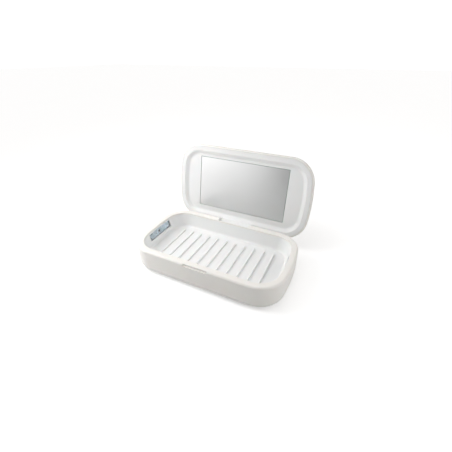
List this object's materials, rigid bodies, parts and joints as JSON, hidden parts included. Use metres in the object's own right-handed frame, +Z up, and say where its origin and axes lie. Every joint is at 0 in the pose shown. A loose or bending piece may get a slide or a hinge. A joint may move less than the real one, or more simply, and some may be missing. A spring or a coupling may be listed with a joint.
{
  "type": "uv sterilizer box",
  "caption": "Flat white ultraviolet sterilizer box with soft corners, a flip-up lid carrying a mirror, end lamp windows in the tray and a rear charging inlet.",
  "frame": {"origin": "on the floor under the centre of the base's plan", "axes": "+X to the user's right along the long side, +Y to the hinged back, -Y to the front with the finger notch, +Z up"},
  "size_m": [0.22, 0.163, 0.1422],
  "materials": {
    "white_case": "fine satin-gloss white moulding",
    "white_tray": "satin white moulding",
    "white_cover": "fine spark-eroded texture",
    "rubber_grey": "matt",
    "screw_steel": "zinc plated",
    "pin_steel": "ground",
    "quartz": "clear polished",
    "reflector_foil": "hammered bright",
    "pcb_white": "white solder mask",
    "pcb_green": "green solder mask",
    "ceramic_chip": "sintered",
    "black_epoxy": "moulded epoxy",
    "ferrite": "pressed",
    "capacitor_can": "bright drawn",
    "plug_ivory": "satin",
    "steel_shell": "nickel plated",
    "button_grey": "satin",
    "clear_plastic": "translucent polished",
    "red_wire": "insulation",
    "black_wire": "insulation",
    "magnet_nickel": "nickel plated",
    "mirror_glass": "silvered, polished",
    "pad_foam": "foam tape"
  },
  "bodies": {
    "base": {"base_shell": "white_case", "tray": "white_tray", "bottom_cover": "white_cover", "feet": "rubber_grey", "cover_screws": "screw_steel", "tray_screws": "screw_steel", "left_window": "quartz", "right_window": "quartz", "left_reflector": "reflector_foil", "right_reflector": "reflector_foil", "left_led_board": "pcb_white", "right_led_board": "pcb_white", "left_uv_led": "ceramic_chip", "right_uv_led": "ceramic_chip", "main_board": "pcb_green", "board_screws": "screw_steel", "controller_chips": "black_epoxy", "power_coil": "ferrite", "capacitors": "capacitor_can", "wire_plugs": "plug_ivory", "usb_shell": "steel_shell", "usb_tongue": "black_epoxy", "tact_switch": "black_epoxy", "status_led": "plug_ivory", "light_pipe": "clear_plastic", "left_wires": "red_wire", "right_wires": "red_wire", "lid_sensor": "black_epoxy", "sensor_wire": "black_wire", "base_magnets": "magnet_nickel", "hinge_pins": "pin_steel"},
    "lid": {"lid_shell": "white_case", "lid_liner": "white_tray", "mirror": "mirror_glass", "mirror_pad": "pad_foam", "lid_screws": "screw_steel", "lid_magnets": "magnet_nickel", "sensor_magnet": "magnet_nickel"},
    "button": {"power_button": "button_grey", "switch_stem": "plug_ivory"}
  },
  "joints": [
    {"name": "lid_hinge", "type": "hinge", "parent": "base", "child": "lid", "pos_m": [0, 0.0594, 0.0245], "axis": [1, 0, 0], "range_deg": [0, 98.9]},
    {"name": "button_press", "type": "slide", "parent": "base", "child": "button", "axis": [0, -1, 0], "range_m": [0, 0.0004], "stiffness_N_per_m": 800, "springref_m": -0.0004}
  ]
}
